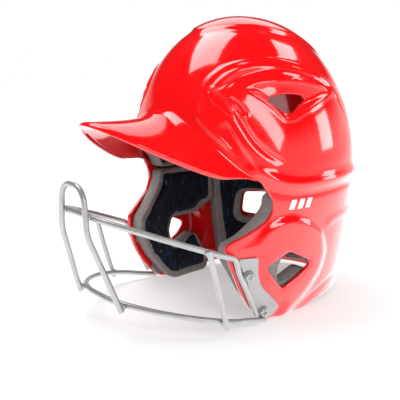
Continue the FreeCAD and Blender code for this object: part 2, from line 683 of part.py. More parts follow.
head_r, shank_r, head_h = size("head") / 2, size("shank") / 2, size("head_height")
seat = plate_face + size("hole_gap") / 2
cup_h = size("washer_height")
head_seat = seat + cup_h - 0.6
screw_body = revolve_body("screw_master", [
    (0, head_seat - size("shank_length")), (shank_r, head_seat - size("shank_length")), (shank_r, head_seat),
    (head_r, head_seat), (head_r, head_seat + 0.45 * head_h), (0.8 * head_r, head_seat + 0.8 * head_h),
    (0.4 * head_r, head_seat + head_h), (0, head_seat + head_h)])
doc.recompute()
cross = screw_body.newObject("Sketcher::SketchObject", "recess_cross")
cross.AttachmentSupport = (origin_plane(screw_body, "XY_Plane"), [""])
cross.MapMode = "FlatFace"
cross.AttachmentOffset = FreeCAD.Placement(Vector(0, 0, head_seat + head_h), FreeCAD.Rotation())
half_w, half_l = size("recess_width") / 2, size("recess_length") / 2
cross_points = [(-half_w, half_l), (half_w, half_l), (half_w, half_w), (half_l, half_w), (half_l, -half_w),
                (half_w, -half_w), (half_w, -half_l), (-half_w, -half_l), (-half_w, -half_w),
                (-half_l, -half_w), (-half_l, half_w), (-half_w, half_w)]
for start, end in zip(cross_points, cross_points[1:] + cross_points[:1]):
    cross.addGeometry(Part.LineSegment(Vector(*start, 0), Vector(*end, 0)), False)
doc.recompute()
solid_volume = screw_body.Shape.Volume
pocket = screw_body.newObject("PartDesign::Pocket", "screw_recess")
pocket.Profile = cross
pocket.setExpression("Length", "Sizes.recess")
doc.recompute()
if screw_body.Shape.Volume >= solid_volume:
    pocket.Reversed = True
    doc.recompute()
assert screw_body.Shape.Volume < solid_volume, "the screw's recess cuts nothing"

washer_r, bore_r = size("washer") / 2, shank_r + size("hole_gap")
washer_body = revolve_body("washer_master", [
    (bore_r, seat), (washer_r, seat), (washer_r - 0.9, seat + cup_h), (head_r + 0.25, seat + cup_h),
    (head_r + 0.25, head_seat), (bore_r, head_seat)])
flange_r, barrel_r = size("nut_flange") / 2, size("nut_barrel") / 2
flange_top = -wall - size("nut_sink")
nut_body = revolve_body("nut_master", [
    (bore_r, flange_top - size("nut_flange_height")), (flange_r, flange_top - size("nut_flange_height")),
    (flange_r, flange_top), (barrel_r, flange_top), (barrel_r, -0.4), (bore_r, -0.4)])
doc.recompute()
screws = place_four("guard_screws", screw_body)
washers = place_four("cup_washers", washer_body)
nuts = place_four("tee_nuts", nut_body)


# ---------------------------------------------------------------- side marks
def mark_outlines():
    """Three plain slanted bars."""
    high, wide, slant = size("mark_height") / 2, size("mark_width") / 2, size("mark_slant") / 2
    outlines = []
    for k in (-1, 0, 1):
        y, z = size("mark_y") + k * size("mark_pitch"), size("mark_z")
        outlines.append([(y - wide - slant, z - high), (y + wide - slant, z - high),
                         (y + wide + slant, z + high), (y - wide + slant, z + high)])
    return outlines


mark_layer = lower_wall_layer("mark_layer", size("plate_gap"), size("plate_gap") + size("mark_film"))
mark_prisms = doc.addObject("Part::Compound", "mark_prisms")
mark_prisms.Links = [side_prism(f"mark_bar{k}", outline, near_x, side_reach, size("mark_corner"))
                     for k, outline in enumerate(mark_outlines())]
left_mark = add_common("left_side_mark", mark_layer, mark_prisms)
right_mark = add_mirror("right_side_mark", left_mark)


# ---------------------------------------------------------------- check and write
doc.recompute()
NODES = {"shell": shell, **pads, "left_side_plate": left_plate, "right_side_plate": right_plate,
         "top_wire": top_wire, "bottom_wire": bottom_wire, "centre_hoop": centre_hoop,
         "left_side_bar": left_side_bar, "right_side_bar": right_side_bar, "guard_screws": screws,
         "cup_washers": washers, "tee_nuts": nuts, "left_side_mark": left_mark, "right_side_mark": right_mark}
failed = [o.Name for o in doc.Objects if "Invalid" in o.State or "Error" in o.State]
assert not failed, f"these objects failed: {failed}"
os.makedirs("parts", exist_ok=True)
for label, node in NODES.items():
    node.Label = label
    shape = node.Shape
    assert not shape.isNull() and shape.isValid() and shape.Solids, f"{label} has no valid solid"
    shape.exportStep(f"parts/{label}.step")
    print(f"{label:24s} solids {len(shape.Solids)}  volume {shape.Volume / 1000:9.2f} cm3")
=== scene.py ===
import math

import bmesh
import bpy
import numpy as np
from mathutils import Matrix, Vector, noise
from mathutils.bvhtree import BVHTree


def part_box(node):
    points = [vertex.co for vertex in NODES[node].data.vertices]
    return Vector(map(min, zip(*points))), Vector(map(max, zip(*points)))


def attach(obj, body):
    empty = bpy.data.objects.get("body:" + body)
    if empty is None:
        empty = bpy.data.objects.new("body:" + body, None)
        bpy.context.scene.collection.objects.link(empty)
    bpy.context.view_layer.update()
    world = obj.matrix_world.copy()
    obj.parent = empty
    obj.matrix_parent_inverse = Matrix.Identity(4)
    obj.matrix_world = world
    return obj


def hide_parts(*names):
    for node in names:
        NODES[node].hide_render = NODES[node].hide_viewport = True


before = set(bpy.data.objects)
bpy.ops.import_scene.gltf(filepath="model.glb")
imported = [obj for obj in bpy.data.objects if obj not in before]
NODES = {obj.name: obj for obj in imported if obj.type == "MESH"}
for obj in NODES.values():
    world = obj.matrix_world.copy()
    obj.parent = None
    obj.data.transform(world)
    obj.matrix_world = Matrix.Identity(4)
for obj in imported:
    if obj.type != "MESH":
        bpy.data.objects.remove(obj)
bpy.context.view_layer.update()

# ------------------------------------------------------------------ moulded shell
# The dome, brim, ear flaps and nape are one injection moulding in glossy red ABS, about 3 mm thick.
# Arched brows, a scooped vent, leaf-shaped hollows and a bulge over each ear are moulded into its
# sides. The brim flows out of the forehead and ends in a lip that is turned down.
MM = 0.001
shell_low, shell_high = (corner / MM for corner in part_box("shell"))
HALF_WIDTH, CROWN_Z = shell_high.x, shell_high.z
BACK_REACH, BROW_REACH = 115.0, 96.0
CENTRE_Y = shell_high.y - BACK_REACH
BRIM_REACH = CENTRE_Y - shell_low.y
WIDEST_Z, LOW_Z = 116.0, 20.0
FLAP_HALF_WIDTH, FLAP_REACH, NAPE_REACH = 84.0, 145.0, 111.0
SECTION_POWER, DOME_POWER = 2.15, 2.1
SHELL_WALL = 3.0


def form_reach(z, inset=0.0):
    """Half width, front reach and back reach of the helmet's level section at heights z."""
    share = np.clip((z - WIDEST_Z) / (CROWN_Z - inset - WIDEST_Z), 0, 1)
    scale = (1 - share ** DOME_POWER) ** (1 / DOME_POWER)
    drop = np.clip((WIDEST_Z - z) / (WIDEST_Z - LOW_Z), 0, 1.3)
    half = HALF_WIDTH + (FLAP_HALF_WIDTH - HALF_WIDTH) * drop ** 1.8 - inset
    front = BROW_REACH + (FLAP_REACH - BROW_REACH) * drop ** 1.3 - inset
    back = BACK_REACH + (NAPE_REACH - BACK_REACH) * drop ** 2.2 - inset
    return half * scale, front * scale, back * scale


def form_x(local_y, z, inset=0.0):
    """The form's X on the wearer's left at a distance behind its centre line and a height."""
    half, front, back = form_reach(z, inset)
    share = np.clip(np.abs(local_y) / np.where(local_y < 0, front, back), 0, 1)
    return half * (1 - share ** SECTION_POWER) ** (1 / SECTION_POWER)


def on_form(across, along, z, inset=0.0):
    """Points of the form in the level directions (across, along), which are unit vectors, at z."""
    half, front, back = form_reach(z, inset)
    reach = np.where(along < 0, front, back)
    spread = np.abs(across) ** SECTION_POWER * reach ** SECTION_POWER
    spread += np.abs(along) ** SECTION_POWER * half ** SECTION_POWER
    length = half * reach / np.maximum(spread, 1e-9) ** (1 / SECTION_POWER)
    return np.stack([across * length, CENTRE_Y + along * length, z], axis=1)


def places(verts):
    """The places of some corners, one row each."""
    return np.array([v.co for v in verts])


def put(verts, points):
    """Moves corners to the rows of points."""
    for v, point in zip(verts, points):
        v.co = point


def rounded(points, steps=5):
    """A closed outline of straight sides joined by arcs. Each point is (a, b, arc radius)."""
    outline = []
    count = len(points)
    for k, (a, b, radius) in enumerate(points):
        corner = np.array([a, b])
        before = np.array(points[k - 1][:2]) - corner
        after = np.array(points[(k + 1) % count][:2]) - corner
        room = 0.49 * min(np.hypot(*before), np.hypot(*after))
        before, after = before / np.hypot(*before), after / np.hypot(*after)
        half_turn = math.acos(np.clip(before @ after, -1, 1)) / 2
        setback = min(radius / math.tan(half_turn), room) if half_turn < 1.57 else 0.0
        if setback < 0.02:
            outline.append(corner)
            continue
        start, end = corner + before * setback, corner + after * setback
        weight = math.sin(half_turn)
        for share in np.linspace(0, 1, steps + 1):
            blend = np.array([(1 - share) ** 2, 2 * share * (1 - share) * weight, share ** 2])
            outline.append(blend @ np.array([start, corner, end]) / blend.sum())
    return np.array(outline)


def outline_distance(points, outline):
    """Distance of each 2-D point from a closed outline, negative inside it."""
    nearest = np.full(len(points), 1e9)
    inside = np.zeros(len(points), bool)
    for start, end in zip(outline, np.roll(outline, -1, axis=0)):
        side, rel = end - start, points - start
        share = np.clip(rel @ side / max(side @ side, 1e-12), 0, 1)
        nearest = np.minimum(nearest, np.hypot(*(rel - share[:, None] * side).T))
        spans = (start[1] > points[:, 1]) != (end[1] > points[:, 1])
        rise = side[1] if side[1] else 1e-12
        inside ^= spans & (points[:, 0] < start[0] + (points[:, 1] - start[1]) * side[0] / rise)
    return np.where(inside, -nearest, nearest)


def run_distance(points, run):
    """Distance of each point from a run of points, and how far along the run it is, 0 to 1."""
    nearest, where = np.full(len(points), 1e9), np.zeros(len(points))
    for k, (start, end) in enumerate(zip(run[:-1], run[1:])):
        side, rel = end - start, points - start
        share = np.clip(rel @ side / (side @ side), 0, 1)
        gap = np.linalg.norm(rel - share[:, None] * side, axis=1)
        where = np.where(gap < nearest, (k + share) / (len(run) - 1), where)
        nearest = np.minimum(nearest, gap)
    return nearest, where


def smooth_run(points, steps=6):
    """A smooth run through the points, which may have any number of coordinates."""
    knots = np.array(points, float)
    knots = np.vstack([2 * knots[0] - knots[1], knots, 2 * knots[-1] - knots[-2]])
    run = []
    for p0, p1, p2, p3 in zip(knots[:-3], knots[1:-2], knots[2:-1], knots[3:]):
        for t in np.arange(steps) / steps:
            run.append(0.5 * (2 * p1 + (p2 - p0) * t + (2 * p0 - 5 * p1 + 4 * p2 - p3) * t ** 2
                              + (3 * p1 - p0 - 3 * p2 + p3) * t ** 3))
    return np.array(run + [knots[-2]])


def ease(value):
    """0 below 0, 1 above 1, and a smooth rise between."""
    share = np.clip(value, 0, 1)
    return share * share * (3 - 2 * share)


RIM_WELD = 0.35


def trim(bm, field):
    """Cuts away the part of a mesh where field is negative, with a clean edge on its zero line."""
    bm.verts.index_update()
    value = field(places(bm.verts))
    moves = {}
    for edge in bm.edges:
        one, two = edge.verts
        first, second = value[one.index], value[two.index]
        if first * second >= 0:
            continue
        share = first / (first - second)
        near, far = (one, two) if share < 0.5 else (two, one)
        share = min(share, 1 - share)
        if share < moves.get(near, (1, None))[0]:
            moves[near] = (share, near.co.lerp(far.co, share))
    for vert, (share, place) in moves.items():
        vert.co = place
        value[vert.index] = 0.0
    mixed = [f for f in bm.faces
             if min(value[v.index] for v in f.verts) < 0 < max(value[v.index] for v in f.verts)]
    for face in mixed:
        ends = [v for v in face.verts if value[v.index] == 0]
        if len(ends) == 2:
            bmesh.ops.connect_vert_pair(bm, verts=ends)
    bm.verts.index_update()
    cut = [f for f in bm.faces if min(value[v.index] for v in f.verts) < 0]
    bmesh.ops.delete(bm, geom=cut, context="FACES")
    rim = [v for v in bm.verts if v.is_boundary]
    bmesh.ops.remove_doubles(bm, verts=rim, dist=RIM_WELD)


def new_piece(name, bm, body="root"):
    """Makes the finished mesh, drawn in millimetres, a piece that rides on a body."""
    bmesh.ops.scale(bm, vec=(MM, MM, MM), verts=bm.verts)
    mesh = bpy.data.meshes.new(name)
    bm.to_mesh(mesh)
    bm.free()
    mesh.shade_smooth()
    piece = bpy.data.objects.new(name, mesh)
    bpy.context.scene.collection.objects.link(piece)
    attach(piece, body)
    return piece


def local(points):
    """(distance behind the centre line, height) of points in space."""
    return np.stack([points[:, 1] - CENTRE_Y, points[:, 2]], axis=1)


def on_side(run):
    """Lifts a run of (distance behind the centre line, height) on to the form's left side."""
    run = np.array(run, float)
    return np.stack([form_x(run[:, 0], run[:, 1]), run[:, 0] + CENTRE_Y, run[:, 1]], axis=1)


def helmet_form(around, rows, inset=0.0):
    """The whole form shrunk by inset: a half sphere of even squares, then level rows below it."""
    form = bmesh.new()
    bmesh.ops.create_cube(form, size=2.0)
    bmesh.ops.subdivide_edges(form, edges=form.edges, cuts=around - 1, use_grid_fill=True)
    bmesh.ops.delete(form, geom=[v for v in form.verts if v.co.z < -1e-4], context="VERTS")
    cube = np.tan(places(form.verts) * math.pi / 4)
    cube /= np.linalg.norm(cube, axis=1)[:, None]
    level = np.hypot(cube[:, 0], cube[:, 1])
    climb = np.clip(cube[:, 2], 0, 1)
    climb /= (level ** DOME_POWER + climb ** DOME_POWER) ** (1 / DOME_POWER)
    flat = cube[:, :2] / np.maximum(level, 1e-9)[:, None]
    top = CROWN_Z - inset
    dome = on_form(flat[:, 0], flat[:, 1], WIDEST_Z + (top - WIDEST_Z) * climb, inset)
    dome[level < 1e-6] = (0, CENTRE_Y, top)
    put(form.verts, dome)
    hem = [e for e in form.edges if e.is_boundary]
    for row in range(rows):
        grown = bmesh.ops.extrude_edge_only(form, edges=hem)["geom"]
        hem = [g for g in grown if isinstance(g, bmesh.types.BMEdge)]
        hem_verts = [g for g in grown if isinstance(g, bmesh.types.BMVert)]
        for v in hem_verts:
            v.co.z = WIDEST_Z + (SKIRT_BOTTOM - WIDEST_Z) * (row + 1) / rows
        lay_on_form(hem_verts, inset)
    bmesh.ops.recalc_face_normals(form, faces=form.faces)
    return form


def lay_on_form(verts, inset=0.0):
    """Moves points level, towards or away from the middle, until they lie on the form."""
    points = places(verts)
    flat = points[:, :2] - (0, CENTRE_Y)
    flat /= np.linalg.norm(flat, axis=1)[:, None]
    put(verts, on_form(flat[:, 0], flat[:, 1], points[:, 2], inset))


def refine(bm, low, high, inset=0.0):
    """Halves the squares in a box of (abs X, local Y, Z) and lays their corners on the form."""
    def within(point):
        place = (abs(point.x), point.y - CENTRE_Y, point.z)
        return all(a < b < c for a, b, c in zip(low, place, high))
    edges = {e for f in bm.faces if within(f.calc_center_median()) for e in f.edges}
    bmesh.ops.subdivide_edges(bm, edges=list(edges), cuts=1, use_grid_fill=True)
    lay_on_form([v for v in bm.verts if within(v.co)], inset)


SKIRT_BOTTOM, SHELL_SQUARES, SHELL_ROWS = -4.0, 66, 50
shell = helmet_form(SHELL_SQUARES, SHELL_ROWS)
refine(shell, (30, -94, 118), (110, 48, 223))
refine(shell, (30, -76, 150), (110, -46, 202))

# what is cut away: the face opening, the brow under the brim, the hem and the holes
BRIM_JOIN_Y, BRIM_JOIN_Z, BROW_RISE, RIM_RISE, BRIM_BLEND = -49.0, 122.0, 44.0, 49.4, 15.0
RIM_REACH_POWER, RIM_RISE_POWER = 1.85, 2.8
BRIM_JOIN_X = float(form_x(BRIM_JOIN_Y, BRIM_JOIN_Z))
face_edge = smooth_run([(-49, 121), (-44.5, 115), (-41, 109), (-40, 103), (-41.5, 97), (-46.5, 90),
                        (-60, 81), (-72, 74.5), (-76.3, 71), (-76.5, 66), (-73.5, 54), (-66, 35),
                        (-57, 20), (-48, 9.5), (-40, 2.5), (-31, 0)])
hem_edge = [(14, 0), (28, 4), (60, 6.5), (90, 4), (96, 3), (140, 3)]
side_cut = np.vstack([[(-220, 121)], face_edge, hem_edge, [(140, -30), (-220, -30)]])
VENT = rounded([(-39, 188.5, 2.5), (-30, 192.5, 14), (-12, 194, 60), (7.5, 190.5, 2.5), (-4, 185, 30),
                (-15.5, 178.5, 5), (-21, 178, 5), (-30, 182.5, 30)])
EAR_HOLE = rounded([(-44, 51.5, 3), (-23, 63, 3.5), (6, 49.5, 3.5), (-4, 40, 30), (-24, 29, 3.5),
                    (-33, 38, 40)])
REAR_TURN = math.radians(37)
REAR_VENT = rounded([(-14, 77, 3), (12, 77, 4), (14, 55, 4), (-10, 51, 4)])


def brow_arch(x):
    """Height of the line across the forehead where the brim starts to grow out."""
    return BRIM_JOIN_Z + (BROW_RISE + BRIM_BLEND) * np.clip(1 - (x / BRIM_JOIN_X) ** 2, 0, 1)


def brow_field(points):
    """Negative under the arch and in front of its ends."""
    slope = 2 * (BROW_RISE + BRIM_BLEND) * np.abs(points[:, 0]) / BRIM_JOIN_X ** 2
    height = (points[:, 2] - brow_arch(points[:, 0])) / np.hypot(1, slope)
    behind = points[:, 1] - CENTRE_Y - BRIM_JOIN_Y
    return np.maximum(np.maximum(height, behind), 100 - points[:, 2])


def rear_plane(points):
    """(across, height) of points as seen square on to the rear vent of their own side."""
    away = np.abs(points[:, 0]) * math.cos(REAR_TURN) - (points[:, 1] - CENTRE_Y) * math.sin(REAR_TURN)
    return np.stack([away, points[:, 2]], axis=1)


def shell_field(points):
    """Positive where the moulding has material, negative in its openings."""
    side = local(points)
    field = np.minimum(outline_distance(side, side_cut), brow_field(points))
    field = np.minimum(field, outline_distance(side, VENT))
    field = np.minimum(field, outline_distance(side, EAR_HOLE))
    rear = np.where(side[:, 0] > 40, outline_distance(rear_plane(points), REAR_VENT), 99.0)
    return np.minimum(field, rear)


trim(shell, shell_field)

# the moulded relief: each feature adds its own height along the surface's normal
CREST = rounded([(-3, -46, 4), (3, -46, 4), (20, -37, 16), (34, -24, 20), (46, 6, 30), (47, 50, 40),
                 (30, 96, 20), (-30, 96, 20), (-47, 50, 40), (-46, 6, 30), (-34, -24, 20), (-20, -37, 16)])
OUTER_BROW = on_side(smooth_run([(-80, 170), (-77.5, 180), (-75.6, 189), (-72, 197), (-64.4, 206.7),
                                 (-53.3, 214.6), (-38, 218.6), (-22.5, 219.5), (-3, 217), (18, 212),
                                 (32, 204), (49, 194), (61, 185), (74, 168), (84, 145)]))
INNER_BROW = on_side(smooth_run([(-66, 192), (-61, 199), (-53, 205), (-41, 209.5), (-24, 211.5), (-3, 209),
                                 (22, 202.5), (40, 192), (52, 179), (62, 160)]))
SCOOP_TOP = smooth_run([(-51, 197), (-38, 201.3), (-18, 203), (6, 201), (25, 197), (42, 192.5)])
SCOOP_FOOT = smooth_run([(-51, 197), (-40, 188.3), (-31.5, 179.5), (-25.5, 173), (-18, 172.8), (-6, 177),
                         (14, 184), (42, 192.5)])
SCOOP = np.vstack([SCOOP_TOP, SCOOP_FOOT[-2:0:-1]])
FRONT_LEAF = rounded([(-71.2, 198, 1.5), (-67.5, 196.5, 8), (-63.8, 188, 16), (-62, 174.2, 1.2),
                      (-66, 178.5, 12), (-70.2, 187, 14)])
REAR_LEAF = rounded([(-61.3, 193, 1.5), (-56.5, 187, 10), (-53, 178.5, 5), (-55.5, 172.5, 3),
                     (-59.5, 178, 10), (-61.5, 186, 12)])
BROW_RIDGE = on_side(smooth_run([(-81, 180), (-79.8, 173), (-78, 167), (-75, 160.5), (-69, 150), (-63, 143)]))
CHEEK_STEP = on_side(smooth_run([(-67.5, 174), (-66, 166), (-62, 153), (-55.5, 140), (-51, 130)]))
CHEEK_GROOVE = on_side(smooth_run([(-60.5, 186), (-59, 178.5), (-55.6, 166.3), (-50.5, 155.3), (-42.5, 147),
                                   (-33, 140.3), (-22, 134)]))
BELT = on_side(smooth_run([(-56, 134), (-46, 128), (-30, 121.5), (-6, 119), (31, 120), (59, 120.5), (77, 120),
                           (98, 121), (112, 122)]))
EAR_BULGE = rounded([(-60, 72, 20), (-46, 88.5, 20), (-34, 94, 20), (-20, 95, 20), (-2, 88.5, 18),
                     (17, 76, 10), (32, 55, 30), (30, 33, 30), (16, 14, 20), (-6, -8, 10), (-60, -12, 10),
                     (-90, 20, 30), (-92, 62, 20)])
PLATE_SEAT = rounded([(-74, 63, 3), (-51, 63, 3), (-46, 36, 20), (-32, 24, 20), (-20, 12, 4), (-28, -6, 6),
                      (-52, -6, 6), (-68, 30, 30)])
NAPE_WEDGE = on_side(smooth_run([(16, 76), (28, 82), (44, 84), (62, 84), (86, 90), (104, 98)]))
NAPE_FLANGE = on_side(smooth_run([(2, 4), (24, 13), (46, 20), (70, 22), (92, 21), (110, 20)]))


def bump(gap, width):
    """A smooth hump across a gap, 1 at its middle."""
    return np.exp(-(gap / width) ** 2)


def taper(where, lead, tail):
    """Fades a feature in over the first part of its run and out over the last."""
    return ease(where / lead) * ease((1 - where) / tail)


def above(points, run, width):
    """0 below a run of points on the side, 1 above it, with a rise of the given width between."""
    flat = run[:, 1:] - (CENTRE_Y, 0)
    flat = flat[np.argsort(flat[:, 0])]
    side = local(points)
    return ease((side[:, 1] - np.interp(side[:, 0], flat[:, 0], flat[:, 1])) / width + 0.5)


def behind_run(points, run):
    """Distance from a run that climbs the side: positive behind it, negative in front."""
    flat = run[:, 1:] - (CENTRE_Y, 0)
    flat = flat[np.argsort(flat[:, 1])]
    gap, where = run_distance(points, run)
    side = local(points)
    return np.where(side[:, 0] > np.interp(side[:, 1], flat[:, 1], flat[:, 0]), gap, -gap), where


def relief(points):
    """Height of the moulded relief at points of the form, in millimetres."""
    side = local(points)
    mirrored = points.copy()
    mirrored[:, 0] = np.abs(points[:, 0])
    flank = ease((mirrored[:, 0] - 28) / 8)
    plan = np.stack([points[:, 0], points[:, 1] - CENTRE_Y], axis=1)
    height = 1.7 * ease(-outline_distance(plan, CREST) / 5 + 0.5) * ease((points[:, 2] - 150) / 20)
    # the eyebrow: a thin riser, a rounded roll and a groove, one inside the other
    gap, where = run_distance(mirrored, OUTER_BROW)
    inner_gap, inner_where = run_distance(mirrored, INNER_BROW)
    height += 1.4 * bump(gap, 2.2) * taper(where, 0.08, 0.25)
    height += 1.7 * bump(gap - 7.5, 4.6) * bump(inner_gap - 5.0, 5.0) * taper(where, 0.12, 0.3)
    height -= 1.3 * bump(inner_gap, 3.2) * taper(inner_where, 0.15, 0.3)
    # the scoop: a long slope from its top edge and a short steep one up to its foot
    inside = outline_distance(side, SCOOP)
    top_gap, _ = run_distance(side, SCOOP_TOP)
    foot_gap, _ = run_distance(side, SCOOP_FOOT)
    depth = ease(foot_gap / 6.0) * np.clip(top_gap / 12.0, 0, 1) ** 0.7
    height -= 4.4 * depth * (inside < 0) * flank
    height += 0.7 * bump(inside, 1.6) * flank
    for leaf in (FRONT_LEAF, REAR_LEAF):
        gap = outline_distance(side, leaf)
        height -= 1.3 * ease(-gap / 1.6) * flank
        height += 0.4 * bump(gap - 0.4, 0.9) * flank
    gap, where = run_distance(mirrored, BROW_RIDGE)
    height += 1.1 * bump(gap, 1.5) * taper(where, 0.35, 0.35)
    # the cheek: a lowered front strip, a rounded strip behind it, and a groove before the side panel
    gap, where = behind_run(mirrored, CHEEK_STEP)
    front = ease(-gap / 2.6 + 0.5) * bump(np.minimum(gap, 0), 11.0)
    height -= 1.5 * front * taper(where, 0.3, 0.3)
    gap, where = behind_run(mirrored, CHEEK_GROOVE)
    height -= 2.0 * np.where(gap > 0, bump(gap, 1.5), bump(gap, 4.2)) * taper(where, 0.12, 0.45)
    # the belt round the widest part, with a hollow under it
    gap, where = run_distance(mirrored, BELT)
    back = ease((side[:, 0] + 62) / 26)
    height += 2.3 * bump(gap, 4.6) * back
    height -= 1.2 * bump(gap - 8.5, 3.2) * back * (1 - above(points, BELT, 4.0))
    # the bulge over the ear: a crisp upper edge, a soft back edge, and a flat seat for the side plate
    bulge = outline_distance(side, EAR_BULGE)
    upper = above(points, on_side(smooth_run([(-80, 62), (-40, 66), (10, 60), (60, 50)])), 40)
    seat = ease(outline_distance(side, PLATE_SEAT) / 9)
    height += 3.4 * ease(-bulge / (6.0 + 11.0 * (1 - upper))) * (mirrored[:, 0] > 50) * seat
    gap, where = run_distance(mirrored, NAPE_WEDGE)
    height += 1.2 * bump(gap, 3.5) * taper(where, 0.2, 0.1)
    gap, where = run_distance(mirrored, NAPE_FLANGE)
    height -= 1.0 * bump(gap, 3.0) * taper(where, 0.2, 0.05)
    # a slight hollow round the ear hole
    gap = outline_distance(side, EAR_HOLE)
    return height - 0.9 * bump(gap - 0.5, 2.2) * (mirrored[:, 0] > 40)


shell.normal_update()
rest = places(shell.verts)
normals = np.array([v.normal for v in shell.verts])
put(shell.verts, rest + normals * relief(rest)[:, None])


def neighbours(edges):
    """The corners beside each corner of some edges."""
    beside = {}
    for edge in edges:
        one, two = edge.verts
        beside.setdefault(one, []).append(two)
        beside.setdefault(two, []).append(one)
    return beside


def in_order(edges):
    """The corners of an open run of edges, one after the other from the wearer's right."""
    beside = neighbours(edges)
    run = [min((v for v in beside if len(beside[v]) == 1), key=lambda v: v.co.x)]
    while len(run) < len(beside):
        ahead = [v for v in beside[run[-1]] if v not in run[-2:]]
        if not ahead:
            break
        run.append(ahead[0])
    return run


def grow_row(bm, run, row):
    """Extrudes an ordered run of corners to the points of a row and returns the new run."""
    edges = [bm.edges.get(pair) for pair in zip(run[:-1], run[1:])]
    grown = bmesh.ops.extrude_edge_only(bm, edges=edges)["geom"]
    fresh = {g for g in grown if isinstance(g, bmesh.types.BMVert)}
    ahead = [next(e.other_vert(v) for e in v.link_edges if e.other_vert(v) in fresh) for v in run]
    put(ahead, row)
    return ahead


# the brim grows out of the arch in curved rows, and its lip turns down
LIP_RADIUS, LIP_RUN_IN, END_SHARE = 3.6, 24, 0.14
ROOT_PULL, RIM_PULL, RIM_DIP = 42, 60, 0.10
arch = [e for e in shell.edges if e.is_boundary and all(
    v.co.y < CENTRE_Y + BRIM_JOIN_Y + 1 and abs(v.co.z - brow_arch(v.co.x)) < 3.0 for v in e.verts)]
arch_run = in_order(arch)
start = places(arch_run)
outward = np.array([v.normal for v in arch_run])
along = np.gradient(start, axis=0)
along /= np.linalg.norm(along, axis=1)[:, None]
down = np.cross(along, outward)
down *= np.where(down[:, 2:] > 0, -1, 1)
sweep = np.clip(start[:, 0] / BRIM_JOIN_X, -1, 1)
forward = np.sqrt(1 - sweep ** 2)
rim_reach = BRIM_REACH - LIP_RADIUS + BRIM_JOIN_Y
rim = np.stack([BRIM_JOIN_X * sweep, CENTRE_Y + BRIM_JOIN_Y - rim_reach * forward ** RIM_REACH_POWER,
                BRIM_JOIN_Z + RIM_RISE * forward ** RIM_RISE_POWER], axis=1)
reach = np.linalg.norm(rim - start + (0, 0, BRIM_BLEND), axis=1)
width = np.clip(reach / reach.max(), 0, 1)
root = start - np.outer(forward ** 2, (0, 0, BRIM_BLEND))
leave = (rim - root) / np.maximum(np.linalg.norm(rim - root, axis=1), 1e-6)[:, None] - (0, 0, RIM_DIP)
leave /= np.linalg.norm(leave, axis=1)[:, None]
ends = ease((np.abs(sweep) - 1 + END_SHARE) / END_SHARE)[:, None]
rim = rim * (1 - ends) + start * ends
lip = LIP_RADIUS * ease(reach / LIP_RUN_IN) * (1 - ends[:, 0])
upward = np.cross(leave, np.gradient(rim, axis=0))
upward /= np.maximum(np.linalg.norm(upward, axis=1), 1e-9)[:, None]
upward *= np.where(upward[:, 2:] < 0, -1, 1)
BRIM_ROWS, LIP_ANGLES = 16, (20, 40, 60, 80)
rows = []
for row in range(1, BRIM_ROWS + 1):
    t = (row / BRIM_ROWS) ** 1.2
    rows.append((2 * t ** 3 - 3 * t ** 2 + 1) * start + (3 * t ** 2 - 2 * t ** 3) * rim
                + (t ** 3 - 2 * t ** 2 + t) * ROOT_PULL * width[:, None] * down * (1 - ends)
                + (t ** 3 - t ** 2) * RIM_PULL * width[:, None] * leave * (1 - ends))
for turn in np.radians(LIP_ANGLES):
    rows.append(rim + lip[:, None] * (math.sin(turn) * leave - (1 - math.cos(turn)) * upward))
run = arch_run
for row in rows:
    run = grow_row(shell, run, row)
brim_verts = [v for v in shell.verts if v.co.y < CENTRE_Y + BRIM_JOIN_Y + 6]
bmesh.ops.remove_doubles(shell, verts=brim_verts, dist=0.15)


def give_wall(bm, thickness, outer_round, inner_round, segments=2):
    """Thickens an open sheet inwards and rounds the edges of its rim."""
    bmesh.ops.recalc_face_normals(bm, faces=bm.faces)
    rim_edges = [e for e in bm.edges if e.is_boundary]
    sheet_faces = set(bm.faces)
    bmesh.ops.solidify(bm, geom=bm.faces[:], thickness=thickness)
    outer, inner = set(), set()
    for edge in rim_edges:
        for wall in (f for f in edge.link_faces if f not in sheet_faces):
            outer.add(edge)
            inner.update(e for e in wall.edges if not set(e.verts) & set(edge.verts))
    for edges, offset in ((outer, outer_round), (inner, inner_round)):
        bmesh.ops.bevel(bm, geom=[e for e in edges if e.is_valid], offset=offset, offset_type="OFFSET",
                        segments=segments, profile=0.5, affect="EDGES", clamp_overlap=False, material=-1)


give_wall(shell, SHELL_WALL, 0.7, 0.7)
shell_moulding = new_piece("shell_moulding", shell)
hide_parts("shell")


def add_node(tree, kind, sockets=None, **settings):
    """Adds a shader node. sockets maps an input to a value, or to the output that feeds it."""
    node = tree.nodes.new(kind)
    for name, value in settings.items():
        setattr(node, name, value)
    for name, value in (sockets or {}).items():
        if isinstance(value, bpy.types.NodeSocket):
            tree.links.new(value, node.inputs[name])
        else:
            node.inputs[name].default_value = value
    return node


def ramp(tree, value, *stops):
    """A colour ramp over a value: each stop is (position, colour)."""
    node = add_node(tree, "ShaderNodeValToRGB", {"Fac": value})
    while len(node.color_ramp.elements) < len(stops):
        node.color_ramp.elements.new(0.5)
    for element, (position, colour) in zip(node.color_ramp.elements, stops):
        element.position = position
        element.color = (*colour, 1) if isinstance(colour, tuple) else (colour, colour, colour, 1)
    return node.outputs["Color"]


def new_group(name, inputs, outputs):
    """An empty shader node group with number inputs and named outputs, and its two end nodes."""
    group = bpy.data.node_groups.new(name, "ShaderNodeTree")
    for label, value in inputs.items():
        group.interface.new_socket(label, in_out="INPUT", socket_type="NodeSocketFloat").default_value = value
    for label in outputs:
        group.interface.new_socket(label, in_out="OUTPUT", socket_type="NodeSocketFloat")
    return group, group.nodes.new("NodeGroupInput").outputs, group.nodes.new("NodeGroupOutput").inputs


